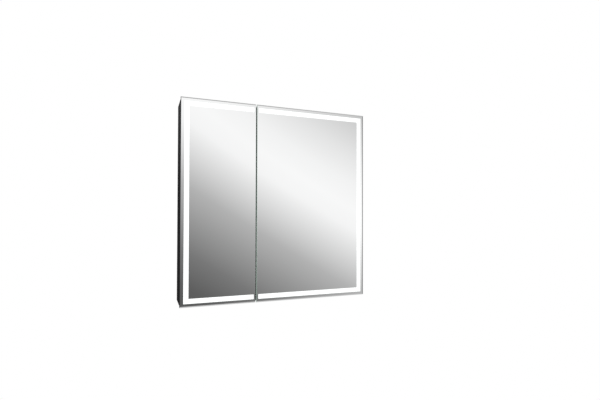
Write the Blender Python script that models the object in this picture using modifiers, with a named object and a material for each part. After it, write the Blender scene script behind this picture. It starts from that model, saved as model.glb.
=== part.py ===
"""Illuminated two-door mirror cabinet for a bathroom wall.

Frame: the origin is the centre of the back face, on the wall plane. The front faces -Y,
+X is to the right as the user sees the cabinet, and +Z is up. Units are metres.
"""
import math

import bmesh
import bpy
from mathutils import Matrix, Vector

# Driving dimensions of the whole cabinet
WIDTH = 0.700
HEIGHT = 0.710
DEPTH = 0.120
LEFT_DOOR_WIDTH = 0.2610
DOOR_SPACING = 0.0035
DOOR_THICKNESS = 0.018
DOOR_CLEARANCE = 0.004
SIDE_INSET = 0.0005
TOP_INSET = 0.005
FIT = 0.0003
EASED_EDGE = 0.0004
TOOL_OVERRUN = 0.005
WELD = 0.000001

# Carcass
PANEL = 0.012
BACK_PANEL = 0.005
HALF_WIDTH = WIDTH / 2
HALF_HEIGHT = HEIGHT / 2
SIDE_OUTER = HALF_WIDTH - SIDE_INSET
SIDE_INNER = SIDE_OUTER - PANEL
TOP_OUTER = HALF_HEIGHT - TOP_INSET
TOP_INNER = TOP_OUTER - PANEL
CARCASS_FRONT = -(DEPTH - DOOR_THICKNESS - DOOR_CLEARANCE)
GEAR_REAR = -BACK_PANEL - FIT
NOTCH_MARGIN = 0.003
NOTCH_BELOW = 0.010
NOTCH_ABOVE = 0.004
LEAD_HOLE_DEPTH = 0.008
LEAD_HOLE_MARGIN = 0.001

# Service bay behind the top of the cabinet
BAY_FLOOR = TOP_INNER - 0.055
BAY_FRONT = -0.070
BAY_SHEET = 0.0015
BAY_END_GAP = 0.006
BAY_HALF_LENGTH = SIDE_INNER - BAY_END_GAP

# Doors
DOOR_FRONT = -DEPTH
DOOR_REAR = DOOR_FRONT + DOOR_THICKNESS
PANE = 0.005
PANE_CHAMFER = 0.0008
FRAME_FRONT = DOOR_FRONT + PANE + FIT
FRAME_INSET = 0.0055
FRAME_RAIL = 0.0265
FRAME_STILE = 0.015
INNER_PANE = 0.003
REBATE = 0.004
WINDOW_BORDER = 0.0125
WINDOW_WIDTH = 0.0165
WINDOW_END = 0.0068
CHANNEL_MARGIN = 0.001
CHANNEL_DEPTH = 0.0095
TAPE_WIDTH = 0.010
TAPE_THICKNESS = 0.0012
TAPE_END = 0.0108

# Knuckle hinges, with their axis in the plane of the frame's outer side
HINGE_X = HALF_WIDTH - FRAME_INSET
HINGE_Y = (DOOR_REAR + CARCASS_FRONT) / 2
HINGE_HEIGHTS = {"upper": 0.250, "lower": -0.250}
LEAF = 0.0015
LEAF_LENGTH = 0.040
KNUCKLE_RADIUS = 0.0030
KNUCKLE_RELIEF = 0.0034
PIN_RADIUS = 0.0012
PIN_BORE = 0.0015
CENTRE_KNUCKLE = 0.0130
TONGUE_OVERLAP = 0.0005
TONGUE_END = 0.0008
DOOR_LEAF_WIDTH = 0.0140
BODY_LEAF_DEPTH = 0.028

# Shelves and their supports
SHELF_THICKNESS = 0.006
SHELF_END_GAP = 0.0015
SHELF_EDGE = 0.0008
SHELF_FRONT = -0.085
SHELF_REAR = -0.008
SUPPORT_DEPTHS = {"front": -0.074, "rear": -0.020}
SUPPORT_HEAD_RADIUS = 0.004
SUPPORT_HEAD_LENGTH = 0.0055
SUPPORT_SHANK_RADIUS = 0.0025
SUPPORT_SHANK_LENGTH = 0.0075
SHELF_SPACE = (BAY_FLOOR + TOP_INNER) / 3
SHELF_BOTTOMS = {"upper": BAY_FLOOR - SHELF_SPACE, "lower": BAY_FLOOR - 2 * SHELF_SPACE}

# Wall hanging
WALL_PLATE = 0.0025
HANGER_WIDTH = 0.0165
HANGER_HEIGHT = 0.038
HANGER_BASE = TOP_INNER - 0.042
HANGER_FRONT = -0.052
HANGER_REAR = -0.014
PLATE_HALF_WIDTH = 0.023
PLATE_CENTRE = SIDE_INNER - 0.029
PLATE_SKIRT = 0.006
LIP_STANDOFF = 0.0080
LIP_RISE = 0.0102
LIP_FOOT = HANGER_BASE + 0.022
LIP_TOP = LIP_FOOT + LIP_RISE
HOOK_FRONT = -0.0065
HOOK_REAR = -0.0040
HOOK_BRIDGE = 0.0025
HOOK_TIP_GAP = 0.0015
ADJUSTER_HEIGHT = HANGER_BASE + 0.026
ADJUSTER_HEAD_RADIUS = 0.0036
ADJUSTER_HEAD = 0.0022
ADJUSTER_SHANK_RADIUS = 0.0020
ADJUSTER_REACH = 0.013
ADJUSTER_SLOT = 0.0008

# Socket, switch and electrical gear
BAY_MIDDLE = (BAY_FLOOR + TOP_INNER) / 2
PLATE_PROUD = 0.0025
SOCKET_X = -0.220
SOCKET_HALF_PLATE = 0.024
SOCKET_HALF_BODY = 0.022
SOCKET_BODY_REAR = -0.031
SOCKET_WELL_RADIUS = 0.0195
SOCKET_WELL_DEPTH = 0.015
PIN_HOLE_OFFSET = 0.0095
PIN_HOLE_RADIUS = 0.0026
PIN_HOLE_REAR = -0.036
SWITCH_X = -0.150
SWITCH_FLANGE_RADIUS = 0.0110
SWITCH_BARREL_RADIUS = 0.0085
SWITCH_BARREL_LENGTH = 0.020
SWITCH_BORE_RADIUS = 0.0063
SWITCH_BORE_DEPTH = 0.012
BUTTON_RADIUS = 0.0060
BUTTON_PROUD = 0.0050
BUTTON_DEPTH = 0.0080
DRIVER_LEFT = -0.115
DRIVER_RIGHT = 0.055
DRIVER_FRONT = -0.0375
DRIVER_RISE = 0.013
DRIVER_HEIGHT = 0.022
DRIVER_EDGE = 0.0015
TERMINAL_LEFT = 0.090
TERMINAL_RIGHT = 0.140
TERMINAL_RISE = 0.014
TERMINAL_HEIGHT = 0.017
TERMINAL_DEPTH = 0.020
TERMINAL_WAYS = 4
TERMINAL_WELL_RADIUS = 0.0028
TERMINAL_WELL_DEPTH = 0.010
GLAND_X = 0.200
GLAND_Z = 0.305
GLAND_FLANGE_RADIUS = 0.0100
GLAND_FLANGE = 0.0030
GLAND_NECK_RADIUS = 0.0060
GLAND_NECK_REAR = -0.0004
GLAND_NOSE_RADII = (0.0078, 0.0055)
GLAND_NOSE_FRONT = -0.0200
GLAND_BORE_RADIUS = 0.0036
BOARD_LEAD_LEVEL = BAY_FLOOR + 0.022
MAINS_LEAD_RADIUS = 0.0028
POWER_LEAD_RADIUS = 0.0020
ROUTE_STEP = 0.009
LEAD_RADIUS = 0.00125
LEAD_HOLE_Y = -0.088
LEAD_HOLE_Z = 0.2775
WIRE_END_GAP = 0.0007

# Catches at the foot of the doors
CATCH_OFFSET = 0.022
CATCH_HALF_LENGTH = 0.010
CATCH_HEIGHT = 0.008
CATCH_PROUD = 0.002
CATCH_DEPTH = 0.012
STRIKE_HALF_LENGTH = 0.011
STRIKE_THICKNESS = 0.0012

COLLECTION_NAME = "mirror_cabinet"


# ---------------------------------------------------------------- scene and materials

def clear_scene():
    for item in list(bpy.data.objects):
        bpy.data.objects.remove(item, do_unlink=True)


def make_collection(name):
    collection = bpy.data.collections.new(name)
    bpy.context.scene.collection.children.link(collection)
    return collection


def make_material(name, colour, roughness, metallic):
    material = bpy.data.materials.new(name)
    material.use_nodes = True
    shader = material.node_tree.nodes["Principled BSDF"]
    shader.inputs["Base Color"].default_value = (*colour, 1.0)
    shader.inputs["Roughness"].default_value = roughness
    shader.inputs["Metallic"].default_value = metallic
    material.diffuse_color = (*colour, 1.0)
    return material


def make_materials():
    return {
        "carcass": make_material("black_anodised", (0.030, 0.030, 0.032), 0.45, 0.6),
        "mirror": make_material("silvered_glass", (0.80, 0.82, 0.82), 0.02, 1.0),
        "window": make_material("frosted_glass", (0.95, 0.95, 0.94), 0.55, 0.0),
        "frame": make_material("satin_aluminium", (0.62, 0.63, 0.64), 0.35, 1.0),
        "tape": make_material("led_tape", (0.92, 0.91, 0.84), 0.60, 0.0),
        "glass": make_material("clear_glass", (0.72, 0.86, 0.80), 0.05, 0.0),
        "steel": make_material("zinc_steel", (0.55, 0.56, 0.57), 0.35, 1.0),
        "hinge": make_material("black_steel", (0.050, 0.050, 0.052), 0.40, 0.8),
        "sheet": make_material("painted_sheet", (0.66, 0.67, 0.68), 0.50, 0.2),
        "white": make_material("white_plastic", (0.86, 0.86, 0.85), 0.40, 0.0),
        "grey": make_material("grey_plastic", (0.30, 0.31, 0.32), 0.50, 0.0),
        "cable": make_material("cable_sheath", (0.90, 0.90, 0.88), 0.50, 0.0),
        "magnet": make_material("dark_plastic", (0.08, 0.08, 0.09), 0.55, 0.0),
    }


# ---------------------------------------------------------------- shape helpers

def add_object(name, mesh, collection, material=None):
    item = bpy.data.objects.new(name, mesh)
    collection.objects.link(item)
    if material is not None:
        mesh.materials.append(material)
    return item


def box(name, low, high, collection, material=None):
    """A box between two opposite corners, with its origin at its centre."""
    low = Vector(low)
    high = Vector(high)
    shape = bmesh.new()
    bmesh.ops.create_cube(shape, size=1.0)
    bmesh.ops.scale(shape, vec=high - low, verts=shape.verts)
    mesh = bpy.data.meshes.new(name)
    shape.to_mesh(mesh)
    shape.free()
    item = add_object(name, mesh, collection, material)
    item.location = (low + high) / 2
    return item


def rod(name, start, end, radius, collection, material=None, segments=24, end_radius=None):
    """A round bar between two points, or a cone when its end radius differs."""
    start = Vector(start)
    end = Vector(end)
    if end_radius is None:
        end_radius = radius
    shape = bmesh.new()
    bmesh.ops.create_cone(shape, cap_ends=True, segments=segments, radius1=radius,
                          radius2=end_radius, depth=(end - start).length)
    mesh = bpy.data.meshes.new(name)
    shape.to_mesh(mesh)
    shape.free()
    mesh.shade_smooth()
    mesh.set_sharp_from_angle(angle=math.radians(35))
    item = add_object(name, mesh, collection, material)
    item.location = (start + end) / 2
    item.rotation_euler = (end - start).to_track_quat("Z", "Y").to_euler()
    return item


def curve_to_mesh(item, collection, material):
    """The mesh of a curve object, with its caps welded on; the curve is removed."""
    bpy.context.view_layer.update()
    graph = bpy.context.evaluated_depsgraph_get()
    mesh = bpy.data.meshes.new_from_object(item.evaluated_get(graph))
    name = item.name
    place = item.matrix_world.copy()
    data = item.data
    bpy.data.objects.remove(item, do_unlink=True)
    bpy.data.curves.remove(data)
    shape = bmesh.new()
    shape.from_mesh(mesh)
    bmesh.ops.remove_doubles(shape, verts=shape.verts, dist=WELD)
    shape.to_mesh(mesh)
    shape.free()
    mesh.materials.clear()
    solid = add_object(name, mesh, collection, material)
    solid.matrix_world = place
    return solid


OUTLINE_TURNS = {
    "X": (math.radians(90), 0.0, math.radians(90)),
    "Y": (math.radians(90), 0.0, 0.0),
    "Z": (0.0, 0.0, 0.0),
}
OUTLINE_NORMALS = {"X": (1.0, 0.0, 0.0), "Y": (0.0, 1.0, 0.0), "Z": (0.0, 0.0, 1.0)}


def outline(name, points, axis, low, high, collection, material=None):
    """A flat outline extruded along X (points are Y, Z), Y (X, Z) or Z (X, Y)."""
    curve = bpy.data.curves.new(name, "CURVE")
    curve.dimensions = "2D"
    curve.fill_mode = "BOTH"
    curve.extrude = (high - low) / 2
    spline = curve.splines.new("POLY")
    spline.points.add(len(points) - 1)
    for point, (across, up) in zip(spline.points, points):
        point.co = (across, up, 0.0, 1.0)
    spline.use_cyclic_u = True
    item = bpy.data.objects.new(name, curve)
    collection.objects.link(item)
    item.rotation_euler = OUTLINE_TURNS[axis]
    item.location = Vector(OUTLINE_NORMALS[axis]) * (low + high) / 2
    return curve_to_mesh(item, collection, material)


def smooth_route(points, spacing):
    """Points along a Catmull-Rom curve through the route's own points."""
    knots = [Vector(point) for point in points]
    knots = [2 * knots[0] - knots[1]] + knots + [2 * knots[-1] - knots[-2]]
    route = []
    for a, b, c, d in zip(knots, knots[1:], knots[2:], knots[3:]):
        steps = max(2, round((c - b).length / spacing))
        for step in range(steps):
            t = step / steps
            place = 2 * b + (c - a) * t
            place += (2 * a - 5 * b + 4 * c - d) * t ** 2
            place += (3 * b - a - 3 * c + d) * t ** 3
            route.append(place / 2)
    route.append(knots[-2])
    return route


def wire(name, points, radius, collection, material):
    """A held wire along a smooth route, a tube with filled ends."""
    curve = bpy.data.curves.new(name, "CURVE")
    curve.dimensions = "3D"
    curve.bevel_depth = radius
    curve.bevel_resolution = 2
    curve.use_fill_caps = True
    route = smooth_route(points, ROUTE_STEP)
    spline = curve.splines.new("POLY")
    spline.points.add(len(route) - 1)
    for point, place in zip(spline.points, route):
        point.co = (*place, 1.0)
    spline.use_smooth = True
    curve.materials.append(material)
    item = bpy.data.objects.new(name, curve)
    collection.objects.link(item)
    return item


def add_boolean(target, tool, operation):
    step = target.modifiers.new(tool.name, "BOOLEAN")
    step.operation = operation
    step.solver = "EXACT"
    step.object = tool
    tool.hide_render = True
    tool.display_type = "WIRE"


def cut(target, tool):
    add_boolean(target, tool, "DIFFERENCE")


def join(target, tool):
    add_boolean(target, tool, "UNION")


def soften(target, width, segments=1):
    """Ease the edges of a piece before anything is cut into it."""
    step = target.modifiers.new("eased_edges", "BEVEL")
    step.width = width
    step.segments = segments
    step.limit_method = "ANGLE"


def mirrored(side, points):
    """The same points on the left (-1) or right (+1) side of the cabinet."""
    return [(side * point[0], *point[1:]) for point in points]


def span(side, near, far):
    """Two X values on one side of the cabinet, the lower first."""
    return min(side * near, side * far), max(side * near, side * far)


# ---------------------------------------------------------------- carcass

def side_panel(name, side, parts, tools, materials):
    low, high = span(side, SIDE_INNER, SIDE_OUTER)
    panel = box(name, (low, CARCASS_FRONT, -TOP_OUTER), (high, 0.0, TOP_OUTER), parts,
                materials["carcass"])
    soften(panel, EASED_EDGE)
    for shelf, bottom in SHELF_BOTTOMS.items():
        for place, depth in SUPPORT_DEPTHS.items():
            height = bottom - FIT - SUPPORT_HEAD_RADIUS
            hole = rod(f"{name}_{shelf}_{place}_hole",
                       (side * (SIDE_INNER - TOOL_OVERRUN), depth, height),
                       (side * (SIDE_INNER + SUPPORT_SHANK_LENGTH + FIT), depth, height),
                       SUPPORT_SHANK_RADIUS + FIT, tools, segments=16)
            cut(panel, hole)
    lead_hole = rod(f"{name}_lead_hole",
                    (side * (SIDE_INNER - TOOL_OVERRUN), LEAD_HOLE_Y, LEAD_HOLE_Z),
                    (side * (SIDE_INNER + LEAD_HOLE_DEPTH), LEAD_HOLE_Y, LEAD_HOLE_Z),
                    LEAD_RADIUS + LEAD_HOLE_MARGIN, tools, segments=16)
    cut(panel, lead_hole)
    for place, height in HINGE_HEIGHTS.items():
        cut(panel, knuckle_relief(f"{name}_{place}_relief", side, height, tools))
    return panel


def knuckle_relief(name, side, height, tools):
    reach = LEAF_LENGTH / 2 + FIT
    return rod(name, (side * HINGE_X, HINGE_Y, height - reach),
               (side * HINGE_X, HINGE_Y, height + reach), KNUCKLE_RELIEF, tools)


def level_panel(name, low, high, parts, materials):
    half = SIDE_INNER - FIT
    panel = box(name, (-half, CARCASS_FRONT, low), (half, 0.0, high), parts,
                materials["carcass"])
    soften(panel, EASED_EDGE)
    return panel


def back_panel(parts, tools, materials):
    half = SIDE_INNER - FIT
    top = TOP_INNER - FIT
    panel = box("back_panel", (-half, -BACK_PANEL, -top), (half, 0.0, top), parts,
                materials["sheet"])
    for side, word in ((-1, "left"), (1, "right")):
        low, high = span(side, PLATE_CENTRE - PLATE_HALF_WIDTH - NOTCH_MARGIN,
                         SIDE_INNER + TOOL_OVERRUN)
        notch = box(f"back_panel_{word}_notch",
                    (low, -BACK_PANEL - TOOL_OVERRUN, HANGER_BASE - NOTCH_BELOW),
                    (high, TOOL_OVERRUN, TOP_INNER - NOTCH_ABOVE), tools)
        cut(panel, notch)
    entry = rod("back_panel_entry", (GLAND_X, -BACK_PANEL - TOOL_OVERRUN, GLAND_Z),
                (GLAND_X, TOOL_OVERRUN, GLAND_Z), GLAND_NECK_RADIUS + FIT, tools)
    cut(panel, entry)
    return panel


def service_cover(parts, tools, materials):
    top = TOP_INNER - FIT
    points = [(BAY_FRONT, BAY_FLOOR), (GEAR_REAR, BAY_FLOOR), (GEAR_REAR, BAY_FLOOR + BAY_SHEET),
              (BAY_FRONT + BAY_SHEET, BAY_FLOOR + BAY_SHEET), (BAY_FRONT + BAY_SHEET, top),
              (BAY_FRONT, top)]
    cover = outline("service_cover", points, "X", -BAY_HALF_LENGTH, BAY_HALF_LENGTH, parts,
                    materials["sheet"])
    half = SOCKET_HALF_BODY + FIT
    socket_hole = box("service_cover_socket_hole",
                      (SOCKET_X - half, BAY_FRONT - TOOL_OVERRUN, BAY_MIDDLE - half),
                      (SOCKET_X + half, BAY_FRONT + TOOL_OVERRUN, BAY_MIDDLE + half), tools)
    cut(cover, socket_hole)
    switch_hole = rod("service_cover_switch_hole",
                      (SWITCH_X, BAY_FRONT - TOOL_OVERRUN, BAY_MIDDLE),
                      (SWITCH_X, BAY_FRONT + TOOL_OVERRUN, BAY_MIDDLE),
                      SWITCH_BARREL_RADIUS + FIT, tools)
    cut(cover, switch_hole)
    return cover


# ---------------------------------------------------------------- electrical gear

def led_driver(parts, materials):
    base = BAY_FLOOR + DRIVER_RISE
    driver = box("led_driver", (DRIVER_LEFT, DRIVER_FRONT, base),
                 (DRIVER_RIGHT, GEAR_REAR, base + DRIVER_HEIGHT), parts, materials["white"])
    soften(driver, DRIVER_EDGE, 2)
    return driver


def terminal_block(parts, tools, materials):
    base = BAY_FLOOR + TERMINAL_RISE
    front = GEAR_REAR - TERMINAL_DEPTH
    block = box("terminal_block", (TERMINAL_LEFT, front, base),
                (TERMINAL_RIGHT, GEAR_REAR, base + TERMINAL_HEIGHT), parts, materials["white"])
    pitch = (TERMINAL_RIGHT - TERMINAL_LEFT) / TERMINAL_WAYS
    height = base + TERMINAL_HEIGHT / 2
    for way in range(TERMINAL_WAYS):
        across = TERMINAL_LEFT + (way + 0.5) * pitch
        well = rod(f"terminal_block_well_{way}", (across, front - TOOL_OVERRUN, height),
                   (across, front + TERMINAL_WELL_DEPTH, height), TERMINAL_WELL_RADIUS, tools,
                   segments=16)
        cut(block, well)
    return block


def cable_gland(parts, tools, materials):
    """A flanged gland whose neck passes through the back panel, flush with the wall."""
    front = GEAR_REAR - GLAND_FLANGE
    middle = GEAR_REAR - GLAND_FLANGE / 2
    nose_radius, tip_radius = GLAND_NOSE_RADII
    gland = rod("cable_gland", (GLAND_X, front, GLAND_Z), (GLAND_X, GEAR_REAR, GLAND_Z),
                GLAND_FLANGE_RADIUS, parts, materials["grey"], segments=6)
    neck = rod("cable_gland_neck", (GLAND_X, middle, GLAND_Z),
               (GLAND_X, GLAND_NECK_REAR, GLAND_Z), GLAND_NECK_RADIUS, tools)
    nose = rod("cable_gland_nose", (GLAND_X, middle, GLAND_Z),
               (GLAND_X, GLAND_NOSE_FRONT, GLAND_Z), nose_radius, tools, end_radius=tip_radius)
    bore = rod("cable_gland_bore", (GLAND_X, TOOL_OVERRUN, GLAND_Z),
               (GLAND_X, GLAND_NOSE_FRONT - TOOL_OVERRUN, GLAND_Z), GLAND_BORE_RADIUS, tools)
    join(gland, neck)
    join(gland, nose)
    cut(gland, bore)
    return gland


def internal_leads(parts, materials):
    """Wires that stay inside the service bay, and the two that go on to the hinges.

    Each lead is laid by hand around the gear, so its route is a list of its own points.
    """
    cable = materials["cable"]
    level = BOARD_LEAD_LEVEL
    wire("mains_lead",
         [(GLAND_X, -0.0010, GLAND_Z), (GLAND_X, -0.0150, GLAND_Z),
          (GLAND_X, -0.0260, GLAND_Z), (GLAND_X - 0.010, -0.0390, GLAND_Z),
          (GLAND_X - 0.030, -0.0380, level), (TERMINAL_RIGHT + 0.016, -0.0180, level),
          (TERMINAL_RIGHT + WIRE_END_GAP, -0.0165, level)],
         MAINS_LEAD_RADIUS, parts, cable)
    wire("driver_lead",
         [(TERMINAL_LEFT - WIRE_END_GAP, -0.0160, level),
          (TERMINAL_LEFT - 0.010, -0.0160, level), (DRIVER_RIGHT + 0.010, -0.0180, level),
          (DRIVER_RIGHT + WIRE_END_GAP, -0.0180, level)],
         POWER_LEAD_RADIUS, parts, cable)
    socket_side = SOCKET_X + SOCKET_HALF_BODY + WIRE_END_GAP
    wire("socket_lead",
         [(TERMINAL_LEFT + 0.020, -0.0170, BAY_FLOOR + 0.0322),
          (TERMINAL_LEFT + 0.020, -0.0180, BAY_FLOOR + 0.0400),
          (TERMINAL_LEFT + 0.010, -0.0290, BAY_FLOOR + 0.0440),
          (DRIVER_RIGHT - 0.010, -0.0425, BAY_FLOOR + 0.0410),
          (DRIVER_LEFT + 0.010, -0.0425, BAY_FLOOR + 0.040),
          (socket_side + 0.020, -0.0420, BAY_MIDDLE), (socket_side, -0.0430, BAY_MIDDLE)],
         POWER_LEAD_RADIUS, parts, cable)
    to_hinge = [(SIDE_INNER - 0.015, -0.0605, BAY_FLOOR + 0.015),
                (SIDE_INNER - 0.003, -0.0680, BAY_FLOOR + 0.010),
                (SIDE_INNER - 0.0055, -0.0780, BAY_FLOOR + 0.001),
                (SIDE_INNER - 0.0050, LEAD_HOLE_Y + 0.0020, LEAD_HOLE_Z + 0.001),
                (SIDE_INNER - 0.0005, LEAD_HOLE_Y, LEAD_HOLE_Z),
                (SIDE_INNER + 0.0060, LEAD_HOLE_Y, LEAD_HOLE_Z)]
    wire("left_led_lead",
         [(DRIVER_LEFT - WIRE_END_GAP, -0.0240, level), (DRIVER_LEFT - 0.040, -0.0220, level),
          (SOCKET_X - 0.035, -0.0220, level), (SOCKET_X - 0.058, -0.0420, level - 0.004),
          *mirrored(-1, to_hinge)],
         LEAD_RADIUS, parts, cable)
    wire("right_led_lead",
         [(DRIVER_RIGHT + WIRE_END_GAP, -0.0330, BAY_FLOOR + 0.017),
          (DRIVER_RIGHT + 0.010, -0.0335, BAY_FLOOR + 0.016),
          (DRIVER_RIGHT + 0.028, -0.0440, BAY_FLOOR + 0.009),
          (TERMINAL_RIGHT + 0.015, -0.0520, BAY_FLOOR + 0.008),
          (GLAND_X + 0.060, -0.0560, BAY_FLOOR + 0.010), *to_hinge],
         LEAD_RADIUS, parts, cable)


def socket_outlet(parts, tools, materials):
    """A recessed two-pole socket with a round well, set in the service cover."""
    plate = SOCKET_HALF_PLATE
    half = SOCKET_HALF_BODY
    front = BAY_FRONT - PLATE_PROUD
    socket = box("socket_outlet", (SOCKET_X - plate, front, BAY_MIDDLE - plate),
                 (SOCKET_X + plate, BAY_FRONT - FIT, BAY_MIDDLE + plate), parts,
                 materials["white"])
    soften(socket, 2 * EASED_EDGE)
    body = box("socket_outlet_body",
               (SOCKET_X - half, BAY_FRONT - PLATE_PROUD / 2, BAY_MIDDLE - half),
               (SOCKET_X + half, SOCKET_BODY_REAR, BAY_MIDDLE + half), tools)
    join(socket, body)
    well = rod("socket_outlet_well", (SOCKET_X, front - TOOL_OVERRUN, BAY_MIDDLE),
               (SOCKET_X, BAY_FRONT + SOCKET_WELL_DEPTH, BAY_MIDDLE), SOCKET_WELL_RADIUS,
               tools, segments=32)
    cut(socket, well)
    for side in (-1, 1):
        across = SOCKET_X + side * PIN_HOLE_OFFSET
        pin_hole = rod(f"socket_outlet_pin_hole_{side}", (across, BAY_FRONT, BAY_MIDDLE),
                       (across, PIN_HOLE_REAR, BAY_MIDDLE), PIN_HOLE_RADIUS, tools,
                       segments=16)
        cut(socket, pin_hole)
    return socket


def light_switch(parts, tools, materials):
    """A round push switch: its housing in the service cover, and the button in its bore."""
    front = BAY_FRONT - PLATE_PROUD
    housing = rod("switch_housing", (SWITCH_X, front, BAY_MIDDLE),
                  (SWITCH_X, BAY_FRONT - FIT, BAY_MIDDLE), SWITCH_FLANGE_RADIUS, parts,
                  materials["white"], segments=32)
    barrel = rod("switch_housing_barrel", (SWITCH_X, BAY_FRONT - PLATE_PROUD / 2, BAY_MIDDLE),
                 (SWITCH_X, BAY_FRONT + SWITCH_BARREL_LENGTH, BAY_MIDDLE),
                 SWITCH_BARREL_RADIUS, tools)
    bore = rod("switch_housing_bore", (SWITCH_X, front - TOOL_OVERRUN, BAY_MIDDLE),
               (SWITCH_X, BAY_FRONT + SWITCH_BORE_DEPTH, BAY_MIDDLE), SWITCH_BORE_RADIUS,
               tools)
    join(housing, barrel)
    cut(housing, bore)
    axis = bpy.data.objects.new("switch_axis", None)
    axis.location = (SWITCH_X, BAY_FRONT, BAY_MIDDLE)
    parts.objects.link(axis)
    button = rod("switch_button", (SWITCH_X, BAY_FRONT - BUTTON_PROUD, BAY_MIDDLE),
                 (SWITCH_X, BAY_FRONT + BUTTON_DEPTH, BAY_MIDDLE), BUTTON_RADIUS, parts,
                 materials["white"], segments=32)
    hang_on(axis, button)


# ---------------------------------------------------------------- shelves

def glass_shelf(name, bottom, parts, materials):
    half = SIDE_INNER - SHELF_END_GAP
    shelf = box(name, (-half, SHELF_FRONT, bottom), (half, SHELF_REAR, bottom + SHELF_THICKNESS),
                parts, materials["glass"])
    soften(shelf, SHELF_EDGE)
    return shelf


def shelf_support(name, side, depth, bottom, parts, tools, materials):
    """A turned stud: its shank in the side panel, its head under the shelf."""
    height = bottom - FIT - SUPPORT_HEAD_RADIUS
    face = SIDE_INNER - FIT
    stud = rod(name, (side * face, depth, height),
               (side * (face - SUPPORT_HEAD_LENGTH), depth, height), SUPPORT_HEAD_RADIUS,
               parts, materials["steel"], segments=16)
    shank = rod(f"{name}_shank", (side * (face - SUPPORT_HEAD_LENGTH / 2), depth, height),
                (side * (SIDE_INNER + SUPPORT_SHANK_LENGTH), depth, height),
                SUPPORT_SHANK_RADIUS, tools, segments=16)
    join(stud, shank)
    return stud


# ---------------------------------------------------------------- wall hanging

def wall_plate(name, side, parts, materials):
    """A bent plate screwed to the wall, with an upturned lip that the hanger hooks over."""
    foot = HANGER_BASE - PLATE_SKIRT
    lip_front = -LIP_STANDOFF - WALL_PLATE
    points = [(0.0, foot), (0.0, LIP_FOOT), (-LIP_STANDOFF, LIP_FOOT),
              (-LIP_STANDOFF, LIP_TOP), (lip_front, LIP_TOP),
              (lip_front, LIP_FOOT - WALL_PLATE), (-WALL_PLATE, LIP_FOOT - WALL_PLATE),
              (-WALL_PLATE, foot)]
    low, high = span(side, PLATE_CENTRE - PLATE_HALF_WIDTH, PLATE_CENTRE + PLATE_HALF_WIDTH)
    return outline(name, points, "X", low, high, parts, materials["steel"])


def hanger(name, side, parts, tools, materials):
    """The bracket inside the cabinet: a body on the side panel and a hook over the lip."""
    bridge = LIP_TOP + FIT
    tip = LIP_FOOT + HOOK_TIP_GAP
    top = HANGER_BASE + HANGER_HEIGHT
    points = [(HANGER_FRONT, HANGER_BASE), (HANGER_REAR, HANGER_BASE), (HANGER_REAR, bridge),
              (HOOK_FRONT, bridge), (HOOK_FRONT, tip), (HOOK_REAR, tip),
              (HOOK_REAR, bridge + HOOK_BRIDGE), (HANGER_REAR, bridge + HOOK_BRIDGE),
              (HANGER_REAR, top), (HANGER_FRONT, top)]
    low, high = span(side, SIDE_INNER - FIT - HANGER_WIDTH, SIDE_INNER - FIT)
    bracket = outline(name, points, "X", low, high, parts, materials["steel"])
    middle = side * (SIDE_INNER - FIT - HANGER_WIDTH / 2)
    hole = rod(f"{name}_screw_hole", (middle, HANGER_FRONT - TOOL_OVERRUN, ADJUSTER_HEIGHT),
               (middle, HANGER_FRONT + ADJUSTER_REACH + 2 * FIT, ADJUSTER_HEIGHT),
               ADJUSTER_SHANK_RADIUS + FIT, tools, segments=16)
    cut(bracket, hole)
    return bracket


def adjusting_screw(name, side, parts, tools, materials):
    middle = side * (SIDE_INNER - FIT - HANGER_WIDTH / 2)
    height = ADJUSTER_HEIGHT
    seat = HANGER_FRONT - FIT
    front = seat - ADJUSTER_HEAD
    half = ADJUSTER_SLOT / 2
    screw = rod(name, (middle, front, height), (middle, seat, height), ADJUSTER_HEAD_RADIUS,
                parts, materials["steel"], segments=20)
    shank = rod(f"{name}_shank", (middle, seat - ADJUSTER_HEAD / 2, height),
                (middle, HANGER_FRONT + ADJUSTER_REACH, height), ADJUSTER_SHANK_RADIUS, tools,
                segments=16)
    slot_cut = box(f"{name}_slot", (middle - half, front - TOOL_OVERRUN, height - TOOL_OVERRUN),
                   (middle + half, front + ADJUSTER_SLOT, height + TOOL_OVERRUN), tools)
    join(screw, shank)
    cut(screw, slot_cut)
    return screw


# ---------------------------------------------------------------- hinges and catches

def body_leaf(name, side, height, parts, tools, materials):
    """The leaf on the side panel: an angle around its front edge, with two knuckles."""
    low = height - LEAF_LENGTH / 2
    high = height + LEAF_LENGTH / 2
    front = CARCASS_FRONT - FIT - LEAF
    face = SIDE_INNER - FIT
    start = HINGE_X - KNUCKLE_RELIEF
    points = mirrored(side, [(start, front), (face - LEAF, front),
                             (face - LEAF, front + BODY_LEAF_DEPTH),
                             (face, front + BODY_LEAF_DEPTH), (face, front + LEAF),
                             (start, front + LEAF)])
    leaf = outline(name, points, "Z", low, high, parts, materials["hinge"])
    inner = CENTRE_KNUCKLE / 2 + FIT
    for word, from_z, to_z in (("top", height + inner, high), ("bottom", low, height - inner)):
        join(leaf, knuckle(f"{name}_{word}", side, from_z, to_z, front, front + LEAF, tools))
    cut(leaf, pin_bore(f"{name}_bore", side, height, tools))
    return leaf


def door_leaf(name, side, height, parts, tools, materials):
    """The leaf on the back of the door frame, with the middle knuckle."""
    low = height - LEAF_LENGTH / 2
    high = height + LEAF_LENGTH / 2
    near = DOOR_REAR + FIT
    start = HINGE_X - KNUCKLE_RELIEF
    from_x, to_x = span(side, start - DOOR_LEAF_WIDTH, start)
    leaf = box(name, (from_x, near, low), (to_x, near + LEAF, high), parts,
               materials["hinge"])
    half = CENTRE_KNUCKLE / 2
    join(leaf, knuckle(f"{name}_middle", side, height - half, height + half, near, near + LEAF,
                       tools))
    cut(leaf, pin_bore(f"{name}_bore", side, height, tools))
    return leaf


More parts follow.
